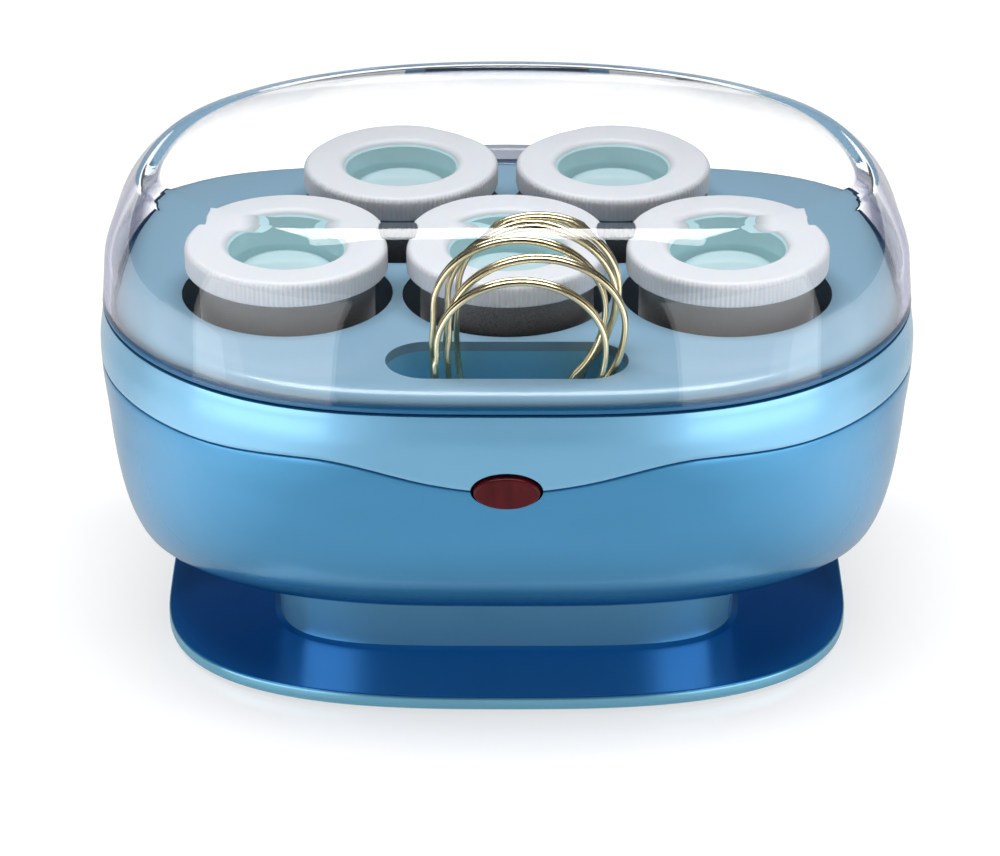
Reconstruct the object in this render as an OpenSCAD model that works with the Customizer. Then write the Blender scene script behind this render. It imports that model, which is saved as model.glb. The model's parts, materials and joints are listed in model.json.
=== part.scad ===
// Heated hair roller set: a pedestal-mounted heater bowl with five jumbo rollers,
// a clear hinged lid and a slot that stores the wire clips.
// Frame: origin on the table under the middle of the base, +X right, +Y back, +Z up.

/* [Body] */
// Height of the plane where the lid meets the housing
rim_z = 104; // [100:1:112]
// Half width of the housing at the rim
half_w = 119; // [112:1:126]
// Half depth of the housing at the rim, towards the front
half_front = 80; // [76:1:84]
// Half depth of the housing at the rim, towards the back
half_back = 84; // [82:1:90]
// Wall thickness of the moulded shells
wall = 2.5; // [2:0.1:3]
// Depth of the bowl below the rim
bowl_depth = 74; // [72:1:76]

/* [Lid] */
// Height of the lid at its middle
lid_h = 53.7; // [53:0.1:56]
// Thickness of the clear plastic
lid_wall = 2.6; // [2:0.1:3]
// Radius of the hinge knuckle
knuckle_r = 3.6; // [3.2:0.1:4]
// Radius of the hinge pin
pin_r = 1.5; // [1.2:0.1:1.8]

/* [Rollers] */
// Diameter of the flocked barrel
barrel_d = 50.8; // [48:0.2:52]
// Diameter of the end rims
rim_d = 58.6; // [57:0.2:59]
// Length of a roller over both rims
roller_len = 64; // [60:1:66]
// Distance between neighbouring front rollers
pitch_x = 64; // [63.6:0.1:64.4]
// Distance between the two rows
pitch_y = 53.4; // [53:0.1:54]
// Hole through the end rims
eye_d = 34; // [33:0.5:35]

/* [Switch] */
// Width of the oval rocker
rocker_w = 19; // [18:0.2:20]
// Height of the oval rocker
rocker_h = 10.4; // [10:0.2:11]
// Rocker travel to each side of its middle, in degrees
rocker_tilt = 4; // [3:0.5:4]

/* [Cord] */
// Diameter of the mains cord
cord_d = 6.4; // [6:0.2:7]
// Runs of the cord in its stored hank
cord_runs = 5; // [3:1:6]

/* [Hidden] */
STEPS = 64;                         // points round each lofted outline
GAP = 0.3;                          // moulding gap between neighbouring shells
RUN = 0.05;                         // running clearance of a pin in its bore
THROUGH = 2;                        // overshoot of a cutter past the wall it cuts
screw_r = 1.5;
screw_head_r = 3;
thread_r = screw_r + 0.02;          // bore that a screw cuts its thread in
hole_r = screw_r + 0.22;            // bore that a screw passes through
head_t = 2.2;                       // height of a screw's head
boss_r = 4;
neck_boss_h = 7;
cord_hole_r = 9;                    // passage for the cord between the bowl and the pedestal
rocker_gap = 0.8;                   // gap round the rocker

deck_z = rim_z + 5;                 // flat top of the roller deck
cap_top_z = deck_z + 16;            // top of a seated roller
well_floor_z = cap_top_z - roller_len;
well_r = 30.6;                      // hole in the deck for one roller
row_front_y = -8.4;
row_back_y = row_front_y + pitch_y;
SEATS = [[-pitch_x, row_front_y], [0, row_front_y], [pitch_x, row_front_y],
         [-pitch_x / 2, row_back_y], [pitch_x / 2, row_back_y]];
SEAT_NAMES = ["front_left", "front_middle", "front_right", "back_left", "back_right"];
ROLLER_PARTS = ["top_rim", "bottom_rim", "core", "sleeve"];
core_bore_r = eye_d / 2;
post_r = core_bore_r - 0.8;         // heated post that the roller slides over
slot_y = -54;                       // middle of the clip slot
slot_len = 69;
slot_w = 24;
slot_floor_z = deck_z - 21.5;
hinge_y = half_back + 5.2;
hinge_z = rim_z + 4.2;
knuckle_half = 24;                  // half length of the lid's knuckle
switch_z = rim_z - 23.6;
switch_y = -half_front;
pivot_in = 6;                       // rocker pivot behind the housing's face
bowl_floor_z = rim_z - bowl_depth;

// ---------- outlines and lofts ----------

function smooth(t) = let (u = min(1, max(0, t))) u * u * (3 - 2 * u);

SIDE_N = 2.15;                      // exponent of the outline at its left and right ends

// The outline bows at the front and is squarer at the back: its exponent changes round the sides.
function bow(s, front, back) = SIDE_N + (s < 0 ? (front - SIDE_N) * s * s : (back - SIDE_N) * smooth(2 * s));

// A point of the outline in the direction a, for half sizes w (X), f (front) and b (back).
function outline_point(a, w, f, b, front_n, back_n) =
    let (c = cos(a), s = sin(a), n = bow(s, front_n, back_n), d = s < 0 ? f : b)
    let (r = 1 / pow(pow(abs(c) / w, n) + pow(abs(s) / d, n), 1 / n)) [r * c, r * s];

function outline(w, f, b, front_n = 2.95, back_n = 4.5) =
    [for (i = [0 : STEPS - 1]) outline_point(360 * i / STEPS, w, f, b, front_n, back_n)];

function ring(points, z) = [for (p = points) [p.x, p.y, z]];

// The housing's outline at the rim, moved inwards by inset.
function rim_outline(inset) = outline(half_w - inset, half_front - inset, half_back - inset);

function split(q) = [[q[0], q[1], q[2]], [q[0], q[2], q[3]]];

function band(a, b, n = STEPS) = [for (i = [0 : n - 1]) let (j = (i + 1) % n)
    each split([a * n + i, a * n + j, b * n + j, b * n + i])];

// A closed solid through rings that run from one capped end, over the edge, to the other capped end.
module capped_loft(rings, first_z, last_z) {
    n = len(rings);
    hub = n * STEPS;
    faces = concat(
        [for (k = [0 : n - 2]) each band(k, k + 1)],
        [for (i = [0 : STEPS - 1]) [hub, (i + 1) % STEPS, i]],
        [for (i = [0 : STEPS - 1]) [hub + 1, (n - 1) * STEPS + i, (n - 1) * STEPS + (i + 1) % STEPS]]);
    polyhedron(points = concat([for (r = rings) each r], [[0, 0, first_z], [0, 0, last_z]]), faces = faces);
}

// A closed frame through rings that run down the outside and return up the inside.
module ring_loft(rings) {
    n = len(rings);
    polyhedron(points = [for (r = rings) each r], faces = [for (k = [0 : n - 1]) each band(k, (k + 1) % n)]);
}

function unit(v) = v / norm(v);

// Side vectors carried along a path without twisting.
function carried(path, i, side) = i == len(path) ? [] :
    let (t = unit(path[min(i + 1, len(path) - 1)] - path[max(i - 1, 0)]), s = unit(side - (side * t) * t))
    concat([[s, cross(t, s)]], carried(path, i + 1, s));

// A round wire or cable along a path.
module wire(path, r, sides, side) {
    frames = carried(path, 0, side);
    last = len(path) - 1;
    polyhedron(
        points = [for (i = [0 : last]) for (k = [0 : sides - 1]) let (a = 360 * k / sides)
            path[i] + r * (cos(a) * frames[i][0] + sin(a) * frames[i][1])],
        faces = concat([[for (k = [0 : sides - 1]) k]],
            [[for (k = [sides - 1 : -1 : 0]) last * sides + k]],
            [for (i = [0 : last - 1]) each band(i + 1, i, sides)]));
}

module oval(w, h, depth) {
    scale([w / 20, h / 20, 1]) cylinder(r = 10, h = depth, $fn = 96);
}

module stadium(length, width, depth) {
    linear_extrude(height = depth) union() {
        square([length - width, width], center = true);
        for (x = [-1, 1]) translate([x * (length - width) / 2, 0]) circle(d = width, $fn = 72);
    }
}

module at_seats() {
    for (seat = SEATS) translate([seat.x, seat.y, 0]) children();
}

module at(points) {
    for (p = points) translate([p.x, p.y, 0]) children();
}

module post(r, h) {
    cylinder(r = r, h = h, $fn = 48);
}

module tube(outer, inner, height) {
    difference() {
        cylinder(r = outer, h = height, $fn = 96);
        translate([0, 0, -1]) cylinder(r = inner, h = height + 2, $fn = 96);
    }
}

// ---------- lid ----------

side_lean = 11.6;                   // how far the lid's side walls lean in by the crease
front_lean = 20.4;
back_lean = 16.5;
lid_base_z = rim_z + GAP;           // underside of the closed lid
front_crease_h = 48;                // height of the crease in the middle of the front
arch_drop = 0.00072;                // drop of the arched top per square millimetre of X
back_drop = 0.022;                  // drop of the crease per millimetre towards the back
crown_h = lid_h - front_crease_h + back_drop * (half_front - front_lean);

// Share of the lean reached at a share t of the wall's height: drafted, then rounding over.
function lean(t) = 0.235 * t + 0.765 * pow(max(0, t - 0.404) / 0.596, 1.5);

// The front wall stays straight for longer and turns over more sharply.
function front_turn(t) = 0.62 * t + 0.38 * pow(t, 7);

// Height of the crease's arched surface over a point.
function crease(p) = front_crease_h - arch_drop * p.x * p.x - back_drop * (p.y + half_front - front_lean);

function lid_outline(t, inset, s = 1) = let (k = lean(t))
    outline((half_w - inset - side_lean * k) * s, (half_front - inset - front_lean * front_turn(t)) * s,
        (half_back - inset - back_lean * k) * s, 2.95 - 0.39 * k, 4.5 - 1.83 * k);

function lid_wall_ring(t, inset, lift) = [for (p = lid_outline(t, inset))
    [p.x, p.y, lid_base_z + max(0, t * crease(p) + lift)]];

// Top rings shrink towards the middle while the height rises to the crown.
function lid_top_ring(s, inset, lift) = [for (p = lid_outline(1, inset, s))
    [p.x, p.y, lid_base_z + crease(p) + crown_h * (1 - s * s) + lift]];

LID_TOP = [0.3, 0.6, 0.8, 0.92];
LID_WALL = [1, 0.96, 0.91, 0.84, 0.74, 0.58, 0.4, 0.2];

module lid_shell() {
    capped_loft(concat(
        [for (s = LID_TOP) lid_top_ring(s, 0, 0)],
        [for (t = LID_WALL) lid_wall_ring(t, 0, 0)],
        [lid_wall_ring(0, 0, 0), lid_wall_ring(0, lid_wall, 0)],
        [for (k = [len(LID_WALL) - 1 : -1 : 0]) lid_wall_ring(LID_WALL[k], lid_wall, -lid_wall * LID_WALL[k])],
        [for (k = [len(LID_TOP) - 1 : -1 : 0]) lid_top_ring(LID_TOP[k], lid_wall, -lid_wall)]),
        lid_base_z + lid_h, lid_base_z + lid_h - lid_wall);
}

module lid() {
    color([0.9, 0.95, 1, 0.3]) difference() {
        union() {
            lid_shell();
            translate([-knuckle_half, half_back - 1.6, lid_base_z + 0.9])
                cube([2 * knuckle_half, hinge_y - half_back + 1.6, 2.4]);
            translate([-knuckle_half, hinge_y, hinge_z]) rotate([0, 90, 0])
                cylinder(r = knuckle_r, h = 2 * knuckle_half, $fn = 64);
        }
        translate([-knuckle_half - 1, hinge_y, hinge_z]) rotate([0, 90, 0])
            cylinder(r = pin_r + RUN, h = 2 * knuckle_half + 2, $fn = 48);
    }
}

ear_t = 6;                          // thickness of each hinge ear

module hinge_pin() {
    color("silver") translate([-knuckle_half - ear_t, hinge_y, hinge_z]) rotate([0, 90, 0])
        cylinder(r = pin_r, h = 2 * (knuckle_half + ear_t), $fn = 48);
}

// ---------- housing ----------

seam_d = 16.5;                      // parting line below the rim
seam_dip = 7.8;                     // extra depth of the parting line at the rocker
dip_half = 56;                      // half width of the dip
seam_rise = 1.5;                    // the line rises to each side of the dip
rise_x = 56;
rise_half = 35;

// A smooth hump of height 1 round the middle.
function hump(x, half) = abs(x) < half ? pow(cos(90 * x / half), 2) : 0;

function seam_z(p) = rim_z - seam_d - (p.y < 0
    ? seam_dip * hump(p.x, dip_half) - seam_rise * hump(abs(p.x) - rise_x, rise_half) : 0);

function seam_ring(points, offset) = [for (p = points) [p.x, p.y, seam_z(p) + offset]];

belt_d = 21;                        // the bowl starts to draw in at this depth

// How far the bowl has drawn in at depth d: 0 at the belt, 1 at the bottom lip.
function draw_in(d) = let (u = max(0, d - belt_d) / (bowl_depth - belt_d))
    0.62 * pow(u, 1.58) + 0.38 * pow(u, 5.6);

// The bowl swells slightly below the rim.
function swell(d) = 1.1 * (smooth(d / 11) - smooth((d - 13) / 20));

function bowl_outline(d, inset) = let (k = draw_in(d), g = swell(d) - inset)
    outline(half_w + g - 9.5 * k, half_front + g - 22 * k, half_back + g - 24 * k, 2.95, 4.5 - 0.97 * k);

ledge_z = rim_z - 2;                // the deck rests here

// Posts that join the bowl to the deck, clear of the wells.
POSTS = [[-78, -42], [78, -42], [-84, 40], [84, 40]];
post_top_z = 88;
seat_t = 8;                         // plastic over each counterbore
OPENING_DEEP = 14;

module rocker_opening() {
    translate([0, switch_y + OPENING_DEEP - 4, switch_z]) rotate([90, 0, 0])
        oval(rocker_w + 2 * rocker_gap, rocker_h + 2 * rocker_gap, OPENING_DEEP);
}

module upper_housing() {
    color([0.45, 0.67, 0.8]) union() {
        difference() {
            ring_loft([
                ring(rim_outline(3.8), rim_z),
                ring(rim_outline(0.7), rim_z),
                ring(bowl_outline(0.6, 0), rim_z - 0.6),
                ring(bowl_outline(4, 0), rim_z - 4),
                ring(bowl_outline(9, 0), rim_z - 9),
                seam_ring(bowl_outline(seam_d, 0), GAP / 2),
                seam_ring(bowl_outline(seam_d, wall), GAP / 2),
                ring(rim_outline(3), ledge_z - 5),
                ring(rim_outline(6.8), ledge_z - 2),
                ring(rim_outline(6.8), ledge_z),
                ring(rim_outline(4), ledge_z)]);
            rocker_opening();
        }
        for (x = [-knuckle_half - GAP - ear_t, knuckle_half + GAP]) hinge_ear(x);
    }
}

// An ear on the back wall holds one end of the pin.
module hinge_ear(x) {
    difference() {
        translate([x, 0, hinge_z]) rotate([90, 0, 90]) linear_extrude(height = ear_t) union() {
            translate([hinge_y, 0]) circle(r = knuckle_r, $fn = 64);
            polygon([[half_back - 1.5, -13], [half_back + 1.4, -13],
                [hinge_y + knuckle_r * 0.8, -knuckle_r * 0.6],
                [hinge_y, knuckle_r * 0.3], [half_back + 0.8, rim_z - 0.2 - hinge_z],
                [half_back - 1.5, rim_z - 0.2 - hinge_z]]);
        }
        translate([x - 1, hinge_y, hinge_z]) rotate([0, 90, 0]) cylinder(r = pin_r, h = ear_t + 2, $fn = 48);
    }
}

module lower_housing() {
    depths = [26, 34, 42, 50, 58, 65, 70, 73];
    color([0.24, 0.52, 0.67]) difference() {
        union() {
            capped_loft(concat(
                [ring(bowl_outline(bowl_depth, wall + 2), bowl_floor_z + wall)],
                [for (k = [len(depths) - 2 : -1 : 0]) ring(bowl_outline(depths[k], wall), rim_z - depths[k])],
                [for (inset = [wall, 0]) seam_ring(bowl_outline(seam_d, inset), -GAP / 2)],
                [for (d = depths) ring(bowl_outline(d, 0), rim_z - d)],
                [ring(bowl_outline(bowl_depth, 1.2), bowl_floor_z)]),
                bowl_floor_z + wall, bowl_floor_z);
            at(POSTS) translate([0, 0, bowl_floor_z + 0.5]) post(boss_r, post_top_z - bowl_floor_z - 0.5);
            at(NECK_SCREWS) translate([0, 0, bowl_floor_z + 0.5]) post(boss_r, neck_boss_h);
        }
        at(POSTS) {
            translate([0, 0, bowl_floor_z - THROUGH])
                post(screw_head_r + GAP, post_top_z - seat_t - bowl_floor_z + THROUGH);
            post(hole_r, post_top_z + THROUGH);
        }
        at(NECK_SCREWS) post(thread_r, bowl_floor_z + neck_boss_h - 1);
        translate([0, 0, bowl_floor_z - THROUGH]) post(cord_hole_r, wall + 2 * THROUGH);
        rocker_opening();
    }
}

// ---------- deck ----------

// Outline of the deck; k runs from 0 at its outer edge to 1 at its flat top.
function deck_outline(k) = let (edge = 4.3)
    outline(half_w - edge - 7.7 * k, half_front - edge - 6.7 * k, half_back - edge - 2.6 * k);

plate_t = 3;                        // thickness of the deck's flat
well_wall = 1;

module roller_deck() {
    color([0.66, 0.73, 0.78]) difference() {
        union() {
            ring_loft([
                ring(deck_outline(1), deck_z),
                ring(deck_outline(0.55), deck_z - 0.3),
                ring(deck_outline(0.25), deck_z - 1),
                ring(deck_outline(0.07), deck_z - 2.1),
                ring(deck_outline(0), deck_z - 3.6),
                ring(deck_outline(0), ledge_z),
                ring(deck_outline(1.2), ledge_z),
                ring(deck_outline(1.2), deck_z - 1.5)]);
            translate([0, 0, deck_z - plate_t]) linear_extrude(height = plate_t) polygon(deck_outline(1));
            at_seats() translate([0, 0, well_floor_z]) cylinder(r = well_r + well_wall,
                h = deck_z - 1 - well_floor_z, $fn = 96);
            translate([0, slot_y, slot_floor_z - 1.5])
                stadium(slot_len + 3, slot_w + 3, deck_z - 1 - slot_floor_z + 1.5);
            at(POSTS) translate([0, 0, post_top_z]) post(boss_r, deck_z - 1 - post_top_z);
        }
        at_seats() translate([0, 0, well_floor_z - THROUGH])
            cylinder(r = well_r, h = deck_z - well_floor_z + 2 * THROUGH, $fn = 96);
        translate([0, slot_y, slot_floor_z]) stadium(slot_len, slot_w, deck_z - slot_floor_z + THROUGH);
        at(POSTS) translate([0, 0, post_top_z - 1]) post(thread_r, housing_thread + 1.5);
    }
}

housing_thread = 10;                // length of each housing screw inside the deck's boss

// A screw with its head below z and its shank running up from there.
module screw(z, shank) {
    translate([0, 0, z - head_t]) post(screw_head_r, head_t);
    translate([0, 0, z - head_t / 2]) post(screw_r, shank + head_t / 2);
}

module housing_screws() {
    color("dimgray") at(POSTS) screw(post_top_z - seat_t, seat_t + housing_thread);
}

// ---------- pedestal ----------

neck_w = 68.5;
neck_d = 38;
neck_n = 4;                         // exponent of the neck's outline
foot_n = 2.8;                       // exponent of the foot's front
foot_w = 102.5;
foot_front = 68;
foot_back = 70;
foot_rim_z = 5.4;                   // top of the foot's rim
foot_under_z = 1.5;                 // the shell hangs this far above the table
cord_exit_z = 19;                   // the cord leaves through the back of the neck
NECK_SCREWS = [[-46, -24], [46, -24], [-46, 24], [46, 24]];

// Outline of the pedestal; k runs from 0 at the squarish neck to 1 at the foot's edge, which bows at the front.
function pedestal_outline(k, inset = 0) = let (w = neck_w + (foot_w - neck_w) * k - inset,
    f = neck_d + (foot_front - neck_d) * k - inset, b = neck_d + (foot_back - neck_d) * k - inset)
    [for (i = [0 : STEPS - 1]) let (a = 360 * i / STEPS, c = cos(a), s = sin(a), d = s < 0 ? f : b)
        let (n = s < 0 ? neck_n + (foot_n - neck_n) * k : neck_n)
        let (r = 1 / pow(pow(abs(c) / w, n) + pow(abs(s) / d, n), 1 / n)) [r * c, r * s]];

// Height of the foot's dished top from the neck outwards.
function dish_z(k) = foot_rim_z - dish_deep + dish_deep * k * k;

DISH = [0.02, 0.35, 0.65, 0.88];
dish_deep = 0.8;
flare = 1.5;                        // the neck widens by this much towards the bowl

module pedestal() {
    color([0.12, 0.38, 0.55]) difference() {
        union() {
            pedestal_shell();
            at(COVER_SCREWS) translate([0, 0, cover_top_z]) post(boss_r, bowl_floor_z - cover_top_z - 1);
        }
        at(COVER_SCREWS) post(thread_r, cover_top_z + cover_thread + 1);
        at(NECK_SCREWS) post(hole_r, bowl_floor_z + 1);
        translate([0, 0, bowl_floor_z - wall - THROUGH]) post(cord_hole_r, wall + 2 * THROUGH);
        translate([0, neck_d + THROUGH, cord_exit_z]) rotate([90, 0, 0]) post(6, wall + 2 * THROUGH);
    }
}

module pedestal_shell() {
    capped_loft(concat(
        [ring(pedestal_outline(0, 0.5 - flare), bowl_floor_z),
         ring(pedestal_outline(0, -flare), bowl_floor_z - 1), ring(pedestal_outline(0), foot_rim_z)],
        [for (k = DISH) ring(pedestal_outline(k), dish_z(k))],
        [ring(pedestal_outline(0.985), foot_rim_z), ring(pedestal_outline(1), foot_rim_z - 0.9),
         ring(pedestal_outline(1), foot_under_z), ring(pedestal_outline(1, wall), foot_under_z),
         ring(pedestal_outline(1, wall), cover_top_z + 0.1), ring(pedestal_outline(0.1), cover_top_z + 0.1),
         ring(pedestal_outline(0, wall), foot_rim_z + 2),
         ring(pedestal_outline(0, wall), bowl_floor_z - wall)]),
        bowl_floor_z, bowl_floor_z - wall);
}

module pedestal_screws() {
    color("dimgray") at(NECK_SCREWS) screw(bowl_floor_z - wall, wall + 5);
}

FEET = [[0, 0], [-76, -42], [76, -42], [-76, 42], [76, 42]];
COVER_SCREWS = [[-30, 0], [30, 0]];
cover_t = 2;
cover_top_z = foot_under_z + cover_t;
cover_thread = 6;                   // length of each cover screw inside the pedestal's boss
cover_head_t = 0.9;

module base_cover() {
    color([0.16, 0.2, 0.24]) difference() {
        translate([0, 0, foot_under_z]) linear_extrude(height = cover_t)
            polygon(pedestal_outline(1, wall + GAP));
        at(FEET) post(stem_r + 0.1, cover_top_z + THROUGH);
        at(COVER_SCREWS) post(hole_r, cover_top_z + THROUGH);
    }
}

pad_r = 7;
stem_r = 2.4;

// Each foot is a pad with a stem that is pushed into the cover.
module rubber_feet() {
    color([0.1, 0.1, 0.1]) at(FEET) rotate_extrude($fn = 64)
        polygon([[0, 0], [pad_r - 0.6, 0], [pad_r, 0.6], [pad_r, foot_under_z], [stem_r, foot_under_z],
            [stem_r, cover_top_z - 0.1], [0, cover_top_z - 0.1]]);
}

module cover_screws() {
    color("dimgray") at(COVER_SCREWS) {
        translate([0, 0, foot_under_z - cover_head_t]) post(screw_head_r, cover_head_t);
        translate([0, 0, foot_under_z - cover_head_t / 2])
            post(screw_r, cover_head_t / 2 + cover_t + cover_thread);
    }
}

// ---------- heater ----------

heater_plate_t = 3;
heater_top_z = well_floor_z;        // the wells and the rollers stand on the heater plate
post_dome_z = cap_top_z - 7;

module heater_plate() {
    color([0.78, 0.79, 0.8]) difference() {
        translate([0, 0, heater_top_z - heater_plate_t]) linear_extrude(height = heater_plate_t)
            polygon(outline(100, 46, 76.2));
        at(POSTS) post(boss_r + 0.6, heater_top_z + THROUGH);
        at_seats() post(hole_r, heater_top_z + THROUGH);
        at(STANDOFFS) post(hole_r, heater_top_z + THROUGH);
    }
}

// Hollow post with a domed top; its foot flange sits on the heater plate.
module heating_posts() {
    color([0.72, 0.76, 0.77]) at_seats() difference() {
        union() {
            translate([0, 0, heater_top_z]) cylinder(r = post_r, h = post_dome_z - 7 - heater_top_z, $fn = 96);
            translate([0, 0, post_dome_z - 7]) rotate_extrude($fn = 96) intersection() {
                union() {
                    square([post_r - 7, 7]);
                    translate([post_r - 7, 0]) circle(r = 7, $fn = 64);
                }
                square([post_r, 7]);
            }
        }
        difference() {
            translate([0, 0, heater_top_z - 1])
                cylinder(r = post_r - 2, h = post_dome_z - 8 - heater_top_z, $fn = 96);
            translate([0, 0, heater_top_z - 2]) cylinder(r = 5, h = 90, $fn = 48);
        }
        translate([0, 0, heater_top_z - 1]) post(thread_r, post_thread + 3);
    }
}

post_thread = 9;                    // length of each post screw inside its post

module post_screws() {
    color("silver") at_seats() screw(heater_top_z - heater_plate_t, heater_plate_t + post_thread);
}

STANDOFFS = [[-46, -38], [46, -38], [-68, 38], [68, 38]];
element_r = 3.2;
element_y = [-8.4, 45];
element_x = 52;

// Spacers between the bowl's floor and the heater plate, bored for their own studs.
module heater_standoffs() {
    color([0.85, 0.83, 0.76]) at(STANDOFFS) translate([0, 0, bowl_floor_z + wall]) difference() {
        post(boss_r, heater_top_z - heater_plate_t - bowl_floor_z - wall);
        translate([0, 0, 4]) post(thread_r, heater_top_z);
    }
}

module plate_screws() {
    color("silver") at(STANDOFFS) {
        translate([0, 0, heater_top_z]) post(screw_head_r - 0.4, 0.6);
        translate([0, 0, heater_top_z - 12]) post(screw_r, 12.3);
    }
}

// A sheathed rod bent into a hairpin under the plate.
module heating_element() {
    z = heater_top_z - heater_plate_t - element_r - 2.4;
    mid = (element_y[0] + element_y[1]) / 2;
    bend = (element_y[1] - element_y[0]) / 2;
    color([0.35, 0.33, 0.32]) union() {
        for (y = element_y) translate([-element_x, y, z]) rotate([0, 90, 0])
            cylinder(r = element_r, h = 2 * element_x - 16, $fn = 48);
        translate([element_x - 16, mid, z]) rotate([0, 0, -90])
            rotate_extrude(angle = 180, $fn = 96) translate([bend, 0]) circle(r = element_r, $fn = 48);
    }
}

// Straps hold the rod up against the plate.
module element_clamp() {
    z = heater_top_z - heater_plate_t;
    color("silver") for (x = [-14, 16], y = element_y) translate([x, y, z]) difference() {
        translate([-4, -8, -2 * element_r - 3.6]) cube([8, 16, 2 * element_r + 3.6]);
        translate([-5, 0, -element_r - 2.4]) rotate([0, 90, 0]) cylinder(r = element_r, h = 10, $fn = 48);
        translate([-5, -10, -2 * element_r - 5]) cube([10, 4, 2 * element_r + 3.8]);
        translate([-5, 6, -2 * element_r - 5]) cube([10, 4, 2 * element_r + 3.8]);
    }
}

thermostat_y = 18;

module thermostat() {
    color([0.55, 0.35, 0.2]) translate([-10, thermostat_y, heater_top_z - heater_plate_t]) union() {
        translate([0, 0, -5]) cylinder(r = 8, h = 5, $fn = 64);
        translate([0, 0, -10]) cylinder(r = 6.5, h = 5.5, $fn = 64);
        for (x = [-4, 4]) translate([x - 0.4, -2, -16]) cube([0.8, 4, 6.5]);
    }
}

module thermal_fuse() {
    color([0.9, 0.88, 0.8]) translate([14, thermostat_y, heater_top_z - heater_plate_t - 2.2]) union() {
        rotate([0, 90, 0]) cylinder(r = 2.2, h = 12, $fn = 48);
        translate([-5, 0, 0]) rotate([0, 90, 0]) cylinder(r = 0.5, h = 22, $fn = 24);
    }
}

module terminal_block() {
    color([0.92, 0.9, 0.84]) translate([-16, 22, bowl_floor_z + wall]) difference() {
        cube([32, 12, 8]);
        for (x = [5.5, 16, 26.5]) {
            translate([x, 3.4, 3]) cylinder(r = 2, h = 8, $fn = 32);
            translate([x, 8.6, 3]) cylinder(r = 2, h = 8, $fn = 32);
        }
    }
}

// ---------- rocker ----------

rocker_face = 1.4;                  // how far the rocker's face stands in front of the housing
pivot_y = switch_y + pivot_in;
pivot_r = 1.5;

module rocker_turn(angle) {
    translate([0, pivot_y, switch_z]) rotate([angle, 0, 0]) translate([0, -pivot_y, -switch_z]) children();
}

// The lower end is pressed in at rest, which is the off position.
module rocker_cap() {
    color([0.4, 0.08, 0.1, 0.9]) rocker_turn(rocker_tilt) difference() {
        union() {
            translate([0, switch_y + 2.6, switch_z]) rotate([90, 0, 0])
                oval(rocker_w, rocker_h, 2.6 + rocker_face);
            translate([-6, pivot_y - 4.4, switch_z - 2.4]) cube([12, 6.8, 4.8]);
        }
        translate([-7, pivot_y, switch_z]) rotate([0, 90, 0]) post(pivot_r + RUN, 14);
    }
}

switch_w = 24;
switch_h = 10.8;
switch_deep = 15;
switch_front = 4.4;                 // front of the switch behind the housing's face
lamp_r = 2;
lamp_rise = 2.4;                    // the lamp sits this far above the switch's middle

module switch_body() {
    back_y = switch_y + switch_front + switch_deep;
    color([0.12, 0.12, 0.13]) union() {
        difference() {
            translate([-switch_w / 2, back_y - switch_deep, switch_z - switch_h / 2])
                cube([switch_w, switch_deep, switch_h]);
            translate([-8, switch_y + 3, switch_z - 4.5]) cube([16, 9, 9]);
            translate([-7, switch_y + 11, switch_z + lamp_rise]) rotate([0, 90, 0]) post(lamp_r + 0.1, 14);
        }
        translate([-9, pivot_y, switch_z]) rotate([0, 90, 0]) post(pivot_r, 18);
        for (x = [-8, 0, 8]) translate([x - 0.4, back_y, switch_z - 2.4]) cube([0.8, 7, 4.8]);
    }
}

module neon_lamp() {
    color([1, 0.5, 0.25, 0.8]) translate([-5, switch_y + 11, switch_z + lamp_rise]) rotate([0, 90, 0])
        post(lamp_r, 10);
}

// ---------- wiring and cord ----------

wire_r = 1.1;

function bend(a, b, c, n = 8) = [for (i = [0 : n]) let (t = i / n)
    a * (1 - t) * (1 - t) + b * 2 * t * (1 - t) + c * t * t];

module internal_wires() {
    plate_z = heater_top_z - heater_plate_t;
    color([0.75, 0.72, 0.66]) {
        wire(bend([-10.5, 20.5, bowl_floor_z + 6], [-22, -10, 34], [-element_x - 4, element_y[0], plate_z - 12]),
            wire_r, 6, [0, 0, 1]);
        wire(bend([10.5, 20.5, bowl_floor_z + 6], [20, -62, 36], [8, switch_y + 28, switch_z - 1]),
            wire_r, 6, [0, 0, 1]);
        wire(bend([0, 20.5, bowl_floor_z + 6], [-26, -62, 36], [-8, switch_y + 28, switch_z - 1]),
            wire_r, 6, [0, 0, 1]);
    }
}

relief_y = neck_d - wall;

module strain_relief() {
    color([0.1, 0.1, 0.11]) translate([0, relief_y, cord_exit_z]) rotate([-90, 0, 0]) difference() {
        union() {
            translate([0, 0, -2.4]) cylinder(r = 7.6, h = 2.3, $fn = 64);
            translate([0, 0, -1]) cylinder(r = 5.9, h = 5, $fn = 64);
            translate([0, 0, 3]) cylinder(r = 5, h = 15, $fn = 64);
        }
        translate([0, 0, -3]) cylinder(r = cord_d / 2, h = 30, $fn = 48);
    }
}

hank_y = 100;                       // first run of the stored cord
hank_half = 30;
hank_pitch = 10;

// A run of the hank and the turn that leads to the next one.
function hank_turn(k) = let (side = k % 2 == 0 ? 1 : -1, turn_r = hank_pitch / 2) [for (a = [-90 : 22.5 : 90])
    [side * (hank_half + turn_r * cos(a)), hank_y + turn_r * (2 * k + 1 + sin(a)), cord_d / 2]];

function hank_end() = let (side = cord_runs % 2 == 1 ? 1 : -1)
    [side * (hank_half + 8), hank_y + hank_pitch * (cord_runs - 1), cord_d / 2];

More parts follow.
